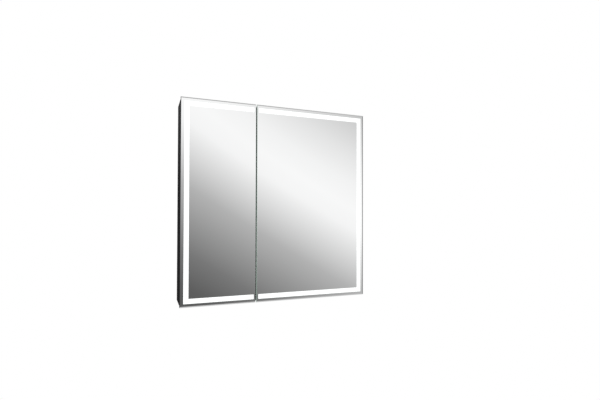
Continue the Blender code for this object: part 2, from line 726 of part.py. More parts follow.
def knuckle(name, side, from_z, to_z, from_y, to_y, tools):
    """One barrel of the hinge with the tongue that runs to its leaf."""
    barrel = rod(name, (side * HINGE_X, HINGE_Y, from_z), (side * HINGE_X, HINGE_Y, to_z),
                 KNUCKLE_RADIUS, tools)
    low, high = span(side, HINGE_X - KNUCKLE_RELIEF - TONGUE_OVERLAP, HINGE_X - TONGUE_END)
    tongue = box(f"{name}_tongue", (low, from_y, from_z), (high, to_y, to_z), tools)
    join(barrel, tongue)
    return barrel


def pin_bore(name, side, height, tools):
    reach = LEAF_LENGTH / 2 + TOOL_OVERRUN
    return rod(name, (side * HINGE_X, HINGE_Y, height - reach),
               (side * HINGE_X, HINGE_Y, height + reach), PIN_BORE, tools, segments=16)


def hinge_pin(name, side, height, parts, materials):
    reach = LEAF_LENGTH / 2
    return rod(name, (side * HINGE_X, HINGE_Y, height - reach),
               (side * HINGE_X, HINGE_Y, height + reach), PIN_RADIUS, parts,
               materials["steel"], segments=16)


def catch_centre(side):
    """Each catch sits beside the gap between the doors."""
    return -HALF_WIDTH + LEFT_DOOR_WIDTH + DOOR_SPACING / 2 + side * CATCH_OFFSET


def catch_magnet(name, side, parts, materials):
    middle = catch_centre(side)
    base = -TOP_INNER + FIT
    magnet = box(name, (middle - CATCH_HALF_LENGTH, CARCASS_FRONT - CATCH_PROUD, base),
                 (middle + CATCH_HALF_LENGTH, CARCASS_FRONT + CATCH_DEPTH, base + CATCH_HEIGHT),
                 parts, materials["magnet"])
    soften(magnet, EASED_EDGE)
    return magnet


def strike_plate(name, side, parts, materials):
    middle = catch_centre(side)
    base = -TOP_INNER + FIT
    near = DOOR_REAR + FIT
    return box(name, (middle - STRIKE_HALF_LENGTH, near, base),
               (middle + STRIKE_HALF_LENGTH, near + STRIKE_THICKNESS, base + CATCH_HEIGHT),
               parts, materials["steel"])


# ---------------------------------------------------------------- doors

def hang_on(axis, *pieces):
    """Parent pieces to an empty on their joint's axis without moving them."""
    for piece in pieces:
        piece.parent = axis
        piece.matrix_parent_inverse = Matrix.Translation(axis.location).inverted()


def u_outline(side, hinge_edge, gap_edge, border, width):
    """A U that follows the hinge side, top and bottom of a door, open towards the gap."""
    outer_x = hinge_edge - side * border
    inner_x = outer_x - side * width
    outer_z = HALF_HEIGHT - border
    inner_z = outer_z - width
    return [(gap_edge, outer_z), (outer_x, outer_z), (outer_x, -outer_z), (gap_edge, -outer_z),
            (gap_edge, -inner_z), (inner_x, -inner_z), (inner_x, inner_z), (gap_edge, inner_z)]


def door_mirror(name, side, hinge_edge, gap_edge, parts, tools, materials):
    """The front pane, cut through where the frosted strip lets the light out."""
    low, high = min(hinge_edge, gap_edge), max(hinge_edge, gap_edge)
    pane = box(name, (low, DOOR_FRONT, -HALF_HEIGHT), (high, DOOR_FRONT + PANE, HALF_HEIGHT),
               parts, materials["mirror"])
    soften(pane, PANE_CHAMFER)
    points = u_outline(side, hinge_edge, gap_edge + side * (WINDOW_END - FIT),
                       WINDOW_BORDER - FIT, WINDOW_WIDTH + 2 * FIT)
    slot_cut = outline(f"{name}_slot", points, "Y", DOOR_FRONT - TOOL_OVERRUN,
                       DOOR_FRONT + PANE + TOOL_OVERRUN, tools)
    cut(pane, slot_cut)
    return pane


def light_window(name, side, hinge_edge, gap_edge, parts, materials):
    points = u_outline(side, hinge_edge, gap_edge + side * WINDOW_END, WINDOW_BORDER,
                       WINDOW_WIDTH)
    return outline(name, points, "Y", DOOR_FRONT, DOOR_FRONT + PANE, parts,
                   materials["window"])


def door_frame(name, side, hinge_edge, gap_edge, parts, tools, materials):
    """An aluminium ring with a channel for the light tape and a rebate for the inner pane."""
    outer_x = hinge_edge - side * FRAME_INSET
    outer_z = HALF_HEIGHT - FRAME_INSET
    low, high = min(outer_x, gap_edge), max(outer_x, gap_edge)
    frame = box(name, (low, FRAME_FRONT, -outer_z), (high, DOOR_REAR, outer_z), parts,
                materials["frame"])
    inner_x = outer_x - side * FRAME_RAIL
    stile_x = gap_edge + side * FRAME_STILE
    inner_z = outer_z - FRAME_RAIL
    low, high = min(inner_x, stile_x), max(inner_x, stile_x)
    opening = box(f"{name}_opening", (low, FRAME_FRONT - TOOL_OVERRUN, -inner_z),
                  (high, DOOR_REAR + TOOL_OVERRUN, inner_z), tools)
    cut(frame, opening)
    rebate = box(f"{name}_rebate",
                 (low - REBATE, DOOR_REAR - INNER_PANE - FIT, -inner_z - REBATE),
                 (high + REBATE, DOOR_REAR + TOOL_OVERRUN, inner_z + REBATE), tools)
    cut(frame, rebate)
    points = u_outline(side, hinge_edge, gap_edge + side * WINDOW_END,
                       WINDOW_BORDER - CHANNEL_MARGIN, WINDOW_WIDTH + 2 * CHANNEL_MARGIN)
    channel = outline(f"{name}_channel", points, "Y", FRAME_FRONT - TOOL_OVERRUN,
                      FRAME_FRONT + CHANNEL_DEPTH, tools)
    cut(frame, channel)
    for place, height in HINGE_HEIGHTS.items():
        cut(frame, knuckle_relief(f"{name}_{place}_relief", side, height, tools))
    return frame


def led_tape(name, side, hinge_edge, gap_edge, parts, materials):
    floor = FRAME_FRONT + CHANNEL_DEPTH - FIT
    border = WINDOW_BORDER + (WINDOW_WIDTH - TAPE_WIDTH) / 2
    points = u_outline(side, hinge_edge, gap_edge + side * TAPE_END, border, TAPE_WIDTH)
    return outline(name, points, "Y", floor - TAPE_THICKNESS, floor, parts, materials["tape"])


def inner_mirror(name, side, hinge_edge, gap_edge, parts, materials):
    inner_x = hinge_edge - side * (FRAME_INSET + FRAME_RAIL - REBATE + FIT)
    stile_x = gap_edge + side * (FRAME_STILE - REBATE + FIT)
    top = HALF_HEIGHT - FRAME_INSET - FRAME_RAIL + REBATE - FIT
    low, high = min(inner_x, stile_x), max(inner_x, stile_x)
    pane = box(name, (low, DOOR_REAR - INNER_PANE, -top), (high, DOOR_REAR, top), parts,
               materials["mirror"])
    soften(pane, EASED_EDGE)
    return pane


def door(word, side, hinge_edge, gap_edge, parts, tools, materials):
    axis = bpy.data.objects.new(f"{word}_door_axis", None)
    axis.location = (side * HINGE_X, HINGE_Y, 0.0)
    parts.objects.link(axis)
    edges = (side, hinge_edge, gap_edge)
    hang_on(
        axis,
        door_mirror(f"{word}_mirror", *edges, parts, tools, materials),
        light_window(f"{word}_light_window", *edges, parts, materials),
        door_frame(f"{word}_door_frame", *edges, parts, tools, materials),
        led_tape(f"{word}_led_tape", *edges, parts, materials),
        inner_mirror(f"{word}_inner_mirror", *edges, parts, materials),
        strike_plate(f"{word}_strike_plate", side, parts, materials),
    )
    for place, height in HINGE_HEIGHTS.items():
        hang_on(axis, door_leaf(f"{word}_{place}_door_leaf", side, height, parts, tools,
                                materials))


# ---------------------------------------------------------------- assembly

def build():
    clear_scene()
    parts = make_collection(COLLECTION_NAME)
    tools = make_collection("cutters")
    materials = make_materials()
    side_panel("left_side_panel", -1, parts, tools, materials)
    side_panel("right_side_panel", 1, parts, tools, materials)
    level_panel("top_panel", TOP_INNER, TOP_OUTER, parts, materials)
    level_panel("bottom_panel", -TOP_OUTER, -TOP_INNER, parts, materials)
    back_panel(parts, tools, materials)
    service_cover(parts, tools, materials)
    led_driver(parts, materials)
    terminal_block(parts, tools, materials)
    cable_gland(parts, tools, materials)
    internal_leads(parts, materials)
    socket_outlet(parts, tools, materials)
    light_switch(parts, tools, materials)
    for shelf, bottom in SHELF_BOTTOMS.items():
        glass_shelf(f"{shelf}_shelf", bottom, parts, materials)
    for word, side in (("left", -1), ("right", 1)):
        for shelf, bottom in SHELF_BOTTOMS.items():
            for place, depth in SUPPORT_DEPTHS.items():
                shelf_support(f"{shelf}_{word}_{place}_support", side, depth, bottom, parts,
                              tools, materials)
        wall_plate(f"{word}_wall_plate", side, parts, materials)
        hanger(f"{word}_hanger", side, parts, tools, materials)
        adjusting_screw(f"{word}_adjusting_screw", side, parts, tools, materials)
        for place, height in HINGE_HEIGHTS.items():
            body_leaf(f"{word}_{place}_body_leaf", side, height, parts, tools, materials)
            hinge_pin(f"{word}_{place}_hinge_pin", side, height, parts, materials)
        catch_magnet(f"{word}_catch_magnet", side, parts, materials)
    left_gap = -HALF_WIDTH + LEFT_DOOR_WIDTH
    door("left", -1, -HALF_WIDTH, left_gap, parts, tools, materials)
    door("right", 1, HALF_WIDTH, left_gap + DOOR_SPACING, parts, tools, materials)


build()
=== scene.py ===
"""The looks of the illuminated mirror cabinet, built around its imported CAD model."""
import math

import bmesh
import bpy
from mathutils import Matrix, Vector


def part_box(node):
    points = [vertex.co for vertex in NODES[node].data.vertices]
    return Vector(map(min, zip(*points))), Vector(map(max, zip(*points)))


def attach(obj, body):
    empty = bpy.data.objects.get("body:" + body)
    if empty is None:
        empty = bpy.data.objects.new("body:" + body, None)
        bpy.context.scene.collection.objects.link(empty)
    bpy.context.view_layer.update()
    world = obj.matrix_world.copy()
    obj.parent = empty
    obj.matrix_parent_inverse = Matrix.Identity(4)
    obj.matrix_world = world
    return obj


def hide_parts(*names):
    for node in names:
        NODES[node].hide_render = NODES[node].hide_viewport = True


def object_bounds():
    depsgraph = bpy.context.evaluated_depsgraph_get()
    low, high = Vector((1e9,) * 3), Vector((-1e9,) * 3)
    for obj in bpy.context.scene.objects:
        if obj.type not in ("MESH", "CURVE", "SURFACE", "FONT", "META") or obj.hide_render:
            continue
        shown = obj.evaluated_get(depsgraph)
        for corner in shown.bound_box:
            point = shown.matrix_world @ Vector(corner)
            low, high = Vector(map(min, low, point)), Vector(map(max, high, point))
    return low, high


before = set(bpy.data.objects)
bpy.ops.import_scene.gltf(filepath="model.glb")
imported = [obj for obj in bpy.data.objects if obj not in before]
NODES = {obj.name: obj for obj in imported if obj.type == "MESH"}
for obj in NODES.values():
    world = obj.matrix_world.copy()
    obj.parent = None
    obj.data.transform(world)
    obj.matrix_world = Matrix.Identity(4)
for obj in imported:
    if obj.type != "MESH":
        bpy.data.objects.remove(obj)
CAD_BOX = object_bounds()
SIDES = (("left", -1), ("right", 1))

# Camera, in the cabinet's own frame: metres, degrees, millimetres of lens and sensor
CAMERA_PLACE = (-0.462, -1.512, -0.052)
CAMERA_YAW = 21.37
CAMERA_PITCH = 0.85
CAMERA_ROLL = -0.15
CAMERA_LENS = 24.01
CAMERA_SENSOR = 36.0
CAMERA_RISE = 0.0196
CAMERA_SLIDE = -0.0009
CAMERA_CLIP = 0.01

# Studio: each light as (name, place, size, power), all aimed at the cabinet's middle
LIGHTS = (
    ("key", (-0.4, -2.2, 1.8), (1.6, 1.2), 14.0),
    ("rear_fill", (0.8, 2.2, 1.2), (1.6, 1.6), 12.0),
)
FLOOR_PLACE = (0.0, -0.25, -1.25)
FLOOR_RADIUS = 0.95
FLOOR_SEGMENTS = 96
FLOOR_FADE = (0.25 * FLOOR_RADIUS, 0.97 * FLOOR_RADIUS)
BACKGROUND = (1.0, 1.0, 1.0, 1.0)

# The sweep that reflections show: its slope, its reach and its brightness from the lower
# left to the upper right, as (place, linear value)
SWEEP_TILT = 0.66
SWEEP_RANGE = (-1.2, 1.5)
SWEEP_STOPS = (
    (-1.20, 0.550), (-0.80, 0.320), (-0.45, 0.140), (-0.22, 0.085), (-0.10, 0.125),
    (-0.02, 0.205), (0.06, 0.340), (0.14, 0.490), (0.22, 0.765), (0.29, 1.000),
    (0.34, 1.030), (0.40, 0.980), (0.47, 0.850), (0.55, 0.660), (0.62, 0.270),
    (0.75, 0.270), (0.95, 0.450), (1.50, 0.600),
)
# Large cards that only reflections show, as (axis, where one starts, where it is whole, grey)
CARDS = (("X", 0.70, 0.90, 0.12), ("Z", -0.60, -0.80, 0.60))

# Mirror panes and door frames. A pane's bevel is GLASS_BEVEL wide, but LEFT_BEVEL at the left
# hinge edge and ARRIS at the gap; within the outermost SHADED_EDGE_WIDTH, faces that aren't
# silvered
# are black: painted shade for the dark band along the left hinge edge.
GLASS_BEVEL = 0.0040
GLASS_BEVEL_DEPTH = 0.0020
LEFT_BEVEL = 0.0016
ARRIS = 0.0011
SHADED_EDGE_WIDTH = 0.0018
WINDOW_WIDTH = 0.0165
SURFACE_GAP = 0.0003
CUT_OVERRUN = 0.002
FRAME_RAIL = 0.0265
FRAME_STILE = 0.015
SEAM = 0.0003

# Screws and pins; a profile's points are (radius, distance along the axis)
SCREW_HEAD = 0.0032
SCREW_CROWN = 0.0009
SCREW_SEGMENTS = 20
SCREW_SHARES = ((0.0, 0.0), (1.0, 0.0), (1.0, 0.45), (0.88, 0.85), (0.62, 1.0), (0.40, 0.92),
                (0.30, 0.30), (0.0, 0.18))
LEAF_FACE = 0.0018
LEAF_SCREW = 0.0024
LEAF_SCREW_CROWN = 0.0006
BODY_SCREW_END = 0.010
BODY_SCREW_DEPTHS = (0.006, 0.017)
DOOR_SCREW_INSET = 0.0045
DOOR_SCREW_END = 0.007
COVER_SCREW_END = 0.012
COVER_SCREW_EDGE = 0.010
COVER_SCREW_SHIFT = 0.02
PIN_INSET = 0.008
PIN_COLUMNS = (-0.24, -0.08, 0.08, 0.24)
PIN_ROWS = (-0.26, -0.10, 0.06, 0.20)
PIN_SEGMENTS = 16
PIN_PROFILE = ((0.0, -0.0010), (0.0036, -0.0010), (0.0036, 0.0001), (0.0030, 0.0003),
               (0.0, 0.0003))

# Seals and bumpers
SEAL_END = 0.012
SEAL_PROUD = 0.0034
SEAL_SUNK = 0.0006
SEAL_HALF_HEIGHT = 0.0018
SEAL_ROUNDING = 0.0012
BUMPER_INSET = 0.0075
BUMPER_FROM_TOP = 0.030
BUMPER_FROM_BASE = 0.045
BUMPER_PROFILE = ((0.0, 0.0), (0.0040, 0.0), (0.0038, 0.0008), (0.0030, 0.0015),
                  (0.0016, 0.0019), (0.0, 0.0020))

# Socket and switch
RIM_PROFILE = ((0.0194, 0.0), (0.0218, 0.0), (0.0216, 0.0007), (0.0206, 0.0011),
               (0.0197, 0.0008), (0.0194, 0.0))
RIM_SEGMENTS = 48
CLIP_REACH = 0.0183
CLIP_HALF_WIDTH = 0.0022
CLIP_HALF_HEIGHT = 0.0009
CLIP_DEPTHS = (0.0010, 0.0165)
CLIP_ROUNDING = 0.0004
RING_PROFILE = ((0.0034, -0.0002), (0.0034, 0.0002), (0.0046, 0.0002), (0.0046, -0.0002),
                (0.0034, -0.0002))
RING_SEGMENTS = 40

# Colours, linear; a pair is the two close shades between which a surface drifts
NOISE_SPAN = (0.30, 0.70)
SILVER = ((0.900, 0.903, 0.903), (0.914, 0.917, 0.917))
GROUND_GLASS = ((0.440, 0.560, 0.490), (0.600, 0.700, 0.640))
# Painted shade: black on the mirror panes' outermost unsilvered faces
PAINTED_SHADE_BLACK = (0.010, 0.010, 0.011)
BACKING_PAINT = (0.300, 0.305, 0.310)
WINDOW_SHADES = ((1.0, 1.0, 1.0), (0.955, 0.960, 0.965))
BLACK_ANODISED = ((0.0100, 0.0100, 0.0108), (0.0125, 0.0125, 0.0133))
SATIN_ANODISED = ((0.56, 0.57, 0.58), (0.66, 0.67, 0.68))
SEAM_SHADE = (0.060, 0.060, 0.062)
SHELF_CLEAR = (0.94, 0.99, 0.965)
SHELF_EDGE = ((0.16, 0.42, 0.30), (0.30, 0.60, 0.46))
TAPE_WHITE = (0.90, 0.90, 0.87)
PHOSPHOR = (0.93, 0.78, 0.22)
BARE_STEEL = (0.55, 0.55, 0.56)


# ---------------------------------------------------------------- shader nodes

def node(owner, kind, **values):
    """A shader node of a material or of the world."""
    item = owner.node_tree.nodes.new(kind)
    for name, value in values.items():
        setattr(item, name, value)
    return item


def link(owner, out_socket, in_socket):
    owner.node_tree.links.new(out_socket, in_socket)


def calc(owner, operation, *values):
    """A maths node; each value is a number or a socket."""
    item = node(owner, "ShaderNodeMath", operation=operation)
    for socket, value in zip(item.inputs, values):
        if isinstance(value, float):
            socket.default_value = value
        else:
            link(owner, value, socket)
    return item.outputs["Value"]


def rescale(owner, value, start, end, low=0.0, high=1.0, **settings):
    """A value carried from one range to another, and held at its ends."""
    item = node(owner, "ShaderNodeMapRange", **settings)
    item.inputs["From Min"].default_value = start
    item.inputs["From Max"].default_value = end
    item.inputs["To Min"].default_value = low
    item.inputs["To Max"].default_value = high
    link(owner, value, item.inputs["Value"])
    return item.outputs["Result"]


def colour_ramp(owner, factor, stops):
    """A colour that follows a factor, through (place, grey) or (place, colour) stops."""
    ramp = node(owner, "ShaderNodeValToRGB")
    points = ramp.color_ramp.elements
    while len(points) < len(stops):
        points.new(0.5)
    for point, (place, value) in zip(points, stops):
        colour = (value, value, value) if isinstance(value, float) else value
        point.position = place
        point.color = (*colour, 1.0)
    link(owner, factor, ramp.inputs["Fac"])
    return ramp.outputs["Color"]


def two_shades(owner, factor, shades, span=NOISE_SPAN):
    """A colour that goes from one shade to another as a factor crosses a span."""
    return colour_ramp(owner, factor, tuple(zip(span, shades)))


def mix_colours(owner, factor, first, second):
    """Two colours, each a constant or a socket, mixed by a factor."""
    mix = node(owner, "ShaderNodeMix", data_type="RGBA")
    link(owner, factor, mix.inputs["Factor"])
    for socket, value in ((mix.inputs[6], first), (mix.inputs[7], second)):
        if isinstance(value, tuple):
            socket.default_value = (*value, 1.0)
        else:
            link(owner, value, socket)
    return mix.outputs[2]


def mix_values(owner, factor, first, second):
    """Two values, each a number or a socket, mixed by a factor."""
    mix = node(owner, "ShaderNodeMix", data_type="FLOAT")
    link(owner, factor, mix.inputs["Factor"])
    for socket, value in ((mix.inputs[2], first), (mix.inputs[3], second)):
        if isinstance(value, float):
            socket.default_value = value
        else:
            link(owner, value, socket)
    return mix.outputs[0]


# ---------------------------------------------------------------- camera and studio

def set_camera():
    data = bpy.data.cameras.new("camera")
    data.lens = CAMERA_LENS
    data.sensor_width = CAMERA_SENSOR
    data.shift_x = CAMERA_SLIDE
    data.shift_y = CAMERA_RISE
    data.dof.use_dof = False
    data.clip_start = CAMERA_CLIP
    camera = bpy.data.objects.new("camera", data)
    camera.location = CAMERA_PLACE
    camera.rotation_euler = (math.radians(90 + CAMERA_PITCH), math.radians(CAMERA_ROLL),
                             -math.radians(CAMERA_YAW))
    bpy.context.scene.collection.objects.link(camera)
    bpy.context.scene.camera = camera


def set_world():
    """A white studio whose reflections show a soft diagonal sweep and its large cards."""
    bpy.context.scene.view_settings.view_transform = "Standard"
    world = bpy.data.worlds.new("studio")
    bpy.context.scene.world = world
    world.use_nodes = True
    world.node_tree.nodes.clear()
    direction = node(world, "ShaderNodeTexCoord").outputs["Generated"]
    tilt = node(world, "ShaderNodeVectorMath", operation="DOT_PRODUCT")
    tilt.inputs[1].default_value = (SWEEP_TILT, 0.0, 1.0)
    link(world, direction, tilt.inputs[0])
    first, last = SWEEP_RANGE
    along = rescale(world, tilt.outputs["Value"], first, last)
    seen = colour_ramp(world, along, [((place - first) / (last - first), value)
                                      for place, value in SWEEP_STOPS])
    apart = node(world, "ShaderNodeSeparateXYZ")
    link(world, direction, apart.inputs["Vector"])
    for axis, start, whole, grey in CARDS:
        card = rescale(world, apart.outputs[axis], start, whole)
        seen = mix_colours(world, card, seen, (grey, grey, grey))
    sweep = node(world, "ShaderNodeBackground")
    link(world, seen, sweep.inputs["Color"])
    plain = node(world, "ShaderNodeBackground")
    plain.inputs["Color"].default_value = BACKGROUND
    rays = node(world, "ShaderNodeLightPath")
    choose = node(world, "ShaderNodeMixShader")
    link(world, rays.outputs["Is Glossy Ray"], choose.inputs["Fac"])
    link(world, plain.outputs["Background"], choose.inputs[1])
    link(world, sweep.outputs["Background"], choose.inputs[2])
    output = node(world, "ShaderNodeOutputWorld")
    link(world, choose.outputs["Shader"], output.inputs["Surface"])


def add_light(name, place, size, power):
    """A rectangular lamp that faces the cabinet's middle and shows in nothing."""
    data = bpy.data.lights.new(name, "AREA")
    data.shape = "RECTANGLE"
    data.size, data.size_y = size
    data.energy = power
    light = bpy.data.objects.new(name, data)
    light.location = place
    light.rotation_euler = (-Vector(place)).to_track_quat("-Z", "Y").to_euler()
    light.visible_glossy = False
    light.visible_camera = False
    bpy.context.scene.collection.objects.link(light)


def set_floor():
    shape = bmesh.new()
    bmesh.ops.create_circle(shape, cap_ends=True, segments=FLOOR_SEGMENTS, radius=FLOOR_RADIUS)
    mesh = bpy.data.meshes.new("floor")
    shape.to_mesh(mesh)
    shape.free()
    floor = bpy.data.objects.new("floor", mesh)
    floor.location = FLOOR_PLACE
    bpy.context.scene.collection.objects.link(floor)
    floor.visible_glossy = False
    mesh.materials.append(floor_material())


def floor_material():
    """A pale matt floor that melts into the white studio towards its rim."""
    material, shader = new_material("studio_floor", (0.90, 0.90, 0.895), 0.75)
    grain(material, shader, 2.5, 0.006)
    source = node(material, "ShaderNodeTexCoord")
    reach = node(material, "ShaderNodeVectorMath", operation="LENGTH")
    link(material, source.outputs["Object"], reach.inputs[0])
    fade = rescale(material, reach.outputs["Value"], *FLOOR_FADE,
                   interpolation_type="SMOOTHSTEP")
    shader.inputs["Emission Color"].default_value = (1.0, 1.0, 1.0, 1.0)
    link(material, fade, shader.inputs["Emission Strength"])
    return material


def set_studio():
    set_camera()
    set_world()
    for name, place, size, power in LIGHTS:
        add_light(name, place, size, power)
    set_floor()


# ---------------------------------------------------------------- material helpers

def new_material(name, colour, roughness, metallic=0.0):
    material = bpy.data.materials.new(name)
    material.use_nodes = True
    shader = material.node_tree.nodes["Principled BSDF"]
    shader.inputs["Base Color"].default_value = (*colour, 1.0)
    shader.inputs["Roughness"].default_value = roughness
    shader.inputs["Metallic"].default_value = metallic
    return material, shader


def object_point(material, stretch=(1.0, 1.0, 1.0)):
    """The point on the surface in metres, stretched for brushed or drawn patterns."""
    source = node(material, "ShaderNodeTexCoord")
    mapping = node(material, "ShaderNodeMapping")
    mapping.inputs["Scale"].default_value = stretch
    link(material, source.outputs["Object"], mapping.inputs["Vector"])
    return mapping.outputs["Vector"]


def object_axes(material):
    """The X and Z of the point on the surface, each a socket."""
    apart = node(material, "ShaderNodeSeparateXYZ")
    link(material, object_point(material), apart.inputs["Vector"])
    return apart.outputs["X"], apart.outputs["Z"]


def noise(material, scale, detail=3.0, stretch=(1.0, 1.0, 1.0)):
    item = node(material, "ShaderNodeTexNoise")
    item.inputs["Scale"].default_value = scale
    item.inputs["Detail"].default_value = detail
    link(material, object_point(material, stretch), item.inputs["Vector"])
    return item.outputs["Fac"]


def varied_roughness(material, shader, factor, low, high):
    spread = rescale(material, factor, *NOISE_SPAN, low, high)
    link(material, spread, shader.inputs["Roughness"])


def bump(material, shader, height, strength, distance):
    item = node(material, "ShaderNodeBump")
    item.inputs["Strength"].default_value = strength
    item.inputs["Distance"].default_value = distance
    link(material, height, item.inputs["Height"])
    link(material, item.outputs["Normal"], shader.inputs["Normal"])


def grain(material, shader, scale, drift):
    """Colour drift and a fine bump for a plain moulded, painted or coated surface."""
    base = shader.inputs["Base Color"].default_value
    low = tuple(max(0.0, value - drift) for value in base[:3])
    high = tuple(min(1.0, value + drift) for value in base[:3])
    colour = two_shades(material, noise(material, scale), (low, high))
    link(material, colour, shader.inputs["Base Color"])
    bump(material, shader, noise(material, 900.0, 2.0), 0.12, 0.0002)


def mask_by_normal(material, axis, threshold=0.5):
    """1 where the surface faces along an axis of the object, else 0."""
    source = node(material, "ShaderNodeTexCoord")
    facing = node(material, "ShaderNodeVectorMath", operation="DOT_PRODUCT")
    facing.inputs[1].default_value = axis
    link(material, source.outputs["Normal"], facing.inputs[0])
    return calc(material, "GREATER_THAN", facing.outputs["Value"], threshold)


# ---------------------------------------------------------------- materials

def mirror_material(name, silver_axis):
    """Silvered glass, green ground edges, black painted shade at the outer rim, grey backing
    paint.
    """
    material, shader = new_material(name, (0.905, 0.908, 0.908), 0.02, 1.0)
    front = mask_by_normal(material, silver_axis, 0.70)
    back = mask_by_normal(material, tuple(-value for value in silver_axis), 0.98)
    haze = noise(material, 3.0, 2.0)
    silver = two_shades(material, haze, SILVER, (0.2, 0.8))
    ground = two_shades(material, noise(material, 60.0, 3.0, (1.0, 1.0, 0.12)), GROUND_GLASS)
    # The outermost faces that aren't silvered turn black: painted shade for the dark hinge-edge
    # band
    aside = calc(material, "ABSOLUTE", object_axes(material)[0])
    painted_shade_mask = calc(material, "GREATER_THAN", aside, CAD_BOX[1][0] - SHADED_EDGE_WIDTH)
    rim = mix_colours(material, painted_shade_mask, ground, PAINTED_SHADE_BLACK)
    colour = mix_colours(material, front, rim, silver)
    colour = mix_colours(material, back, colour, BACKING_PAINT)
    link(material, colour, shader.inputs["Base Color"])
    link(material, mix_values(material, front, 0.25, 1.0), shader.inputs["Metallic"])
    polished = calc(material, "MULTIPLY_ADD", haze, 0.012, 0.004)
    link(material, mix_values(material, front, 0.22, polished), shader.inputs["Roughness"])
    return material


def window_material():
    """Sandblasted glass, evenly lit, with the faint rhythm of the LEDs behind it."""
    material, shader = new_material("frosted_light_window", (0.62, 0.63, 0.63), 0.55)
    dots = node(material, "ShaderNodeTexVoronoi", feature="SMOOTH_F1")
    dots.inputs["Scale"].default_value = 60.0
    dots.inputs["Smoothness"].default_value = 1.0
    link(material, object_point(material), dots.inputs["Vector"])
    glow = two_shades(material, dots.outputs["Distance"], WINDOW_SHADES, (0.0, 1.0))
    link(material, glow, shader.inputs["Emission Color"])
    shader.inputs["Emission Strength"].default_value = 0.48
    varied_roughness(material, shader, noise(material, 400.0), 0.45, 0.65)
    bump(material, shader, noise(material, 1600.0, 2.0), 0.25, 0.0001)
    return material


def brushed_metal(name, colour, roughness, stretch, metallic=1.0, strength=0.08):
    """Metal with fine lines along the direction that stretch squeezes least."""
    material, shader = new_material(name, colour, roughness, metallic)
    lines = noise(material, 700.0, 4.0, stretch)
    low = tuple(value * 0.90 for value in colour)
    high = tuple(min(1.0, value * 1.08) for value in colour)
    link(material, two_shades(material, lines, (low, high)), shader.inputs["Base Color"])
    varied_roughness(material, shader, noise(material, 25.0), roughness * 0.85, roughness * 1.2)
    bump(material, shader, lines, strength, 0.0002)
    return material


def outward_measure(material):
    """How far a surface lies from the cabinet's axis, positive where it faces away from it."""
    source = node(material, "ShaderNodeTexCoord")
    across = node(material, "ShaderNodeVectorMath", operation="MULTIPLY")
    across.inputs[1].default_value = (1.0, 0.0, 1.0)
    link(material, source.outputs["Object"], across.inputs[0])
    outward = node(material, "ShaderNodeVectorMath", operation="DOT_PRODUCT")
    link(material, across.outputs["Vector"], outward.inputs[0])
    link(material, source.outputs["Normal"], outward.inputs[1])
    return outward.outputs["Value"]


def level_in_carcass(material):
    """1 on the top and bottom panels, which lie between the sides; they have no seams."""
    across = object_axes(material)[0]
    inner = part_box("top_panel")[1].x + SURFACE_GAP / 2
    return calc(material, "LESS_THAN", calc(material, "ABSOLUTE", across), inner), None


def level_in_frame(material):
    """1 on the level rails of a door frame, and 1 along its mitred seams."""
    across, height = object_axes(material)
    left_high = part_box("left_door_frame")[1]
    right_low, right_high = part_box("right_door_frame")
    gap_middle = (left_high.x + right_low.x) / 2
    gap_half = (right_low.x - left_high.x) / 2
    tall = calc(material, "ABSOLUTE", height)
    outer = calc(material, "SUBTRACT", tall, calc(material, "ABSOLUTE", across))
    from_gap = calc(material, "ABSOLUTE", calc(material, "SUBTRACT", across, gap_middle))
    inner = calc(material, "ADD", tall, from_gap)
    outer_line = right_high.z - right_high.x
    inner_line = right_high.z + gap_half
    rail = calc(material, "GREATER_THAN", tall, right_high.z - FRAME_RAIL)
    level = calc(material, "MULTIPLY", calc(material, "GREATER_THAN", outer, outer_line),
                 calc(material, "GREATER_THAN", inner, inner_line))
    level = calc(material, "MULTIPLY", level, rail)
    outer_seam = calc(material, "COMPARE", outer, outer_line, SEAM)
    inner_seam = calc(material, "COMPARE", inner, inner_line, SEAM)
    stile = calc(material, "GREATER_THAN", tall, right_high.z - FRAME_STILE)
    seam = calc(material, "MAXIMUM", calc(material, "MULTIPLY", outer_seam, rail),
                calc(material, "MULTIPLY", inner_seam, stile))
    return level, seam


def two_tone_metal(name, satin_below, level_part):
    """Aluminium, black anodised on its outer faces and satin where it faces inwards.

    Its fine lines run along each member: level_part tells the level ones from the upright.
    """
    material, shader = new_material(name, (0.030, 0.031, 0.033), 0.42, 0.6)
    inside = calc(material, "LESS_THAN", outward_measure(material), satin_below)
    level, seam = level_part(material)
    upright_lines = noise(material, 500.0, 4.0, (1.0, 1.0, 0.03))
    level_lines = noise(material, 500.0, 4.0, (0.03, 1.0, 1.0))
    lines = mix_values(material, level, upright_lines, level_lines)
    black = two_shades(material, noise(material, 260.0), BLACK_ANODISED)
    satin = two_shades(material, lines, SATIN_ANODISED)
    colour = mix_colours(material, inside, black, satin)
    if seam is not None:
        colour = mix_colours(material, seam, colour, SEAM_SHADE)
    link(material, colour, shader.inputs["Base Color"])
    link(material, mix_values(material, inside, 0.0, 0.8), shader.inputs["Metallic"])
    shader.inputs["Specular IOR Level"].default_value = 0.02
    varied_roughness(material, shader, noise(material, 40.0), 0.44, 0.56)
    bump(material, shader, lines, 0.06, 0.0002)
    return material


def shelf_material():
    """Clear glass whose cut edges look deep green."""
    material, shader = new_material("shelf_glass", SHELF_CLEAR, 0.02)
    flat = calc(material, "ADD", mask_by_normal(material, (0.0, 0.0, 1.0)),
                mask_by_normal(material, (0.0, 0.0, -1.0)))
    streaks = two_shades(material, noise(material, 40.0, 3.0, (0.2, 0.2, 1.0)), SHELF_EDGE)
    link(material, mix_colours(material, flat, streaks, SHELF_CLEAR),
         shader.inputs["Base Color"])
    shader.inputs["Transmission Weight"].default_value = 0.92
    shader.inputs["IOR"].default_value = 1.52
    varied_roughness(material, shader, noise(material, 8.0), 0.01, 0.04)
    return material


def moulded_plastic(name, colour, roughness, drift=0.015):
    material, shader = new_material(name, colour, roughness)
    grain(material, shader, 30.0, drift)
    return material


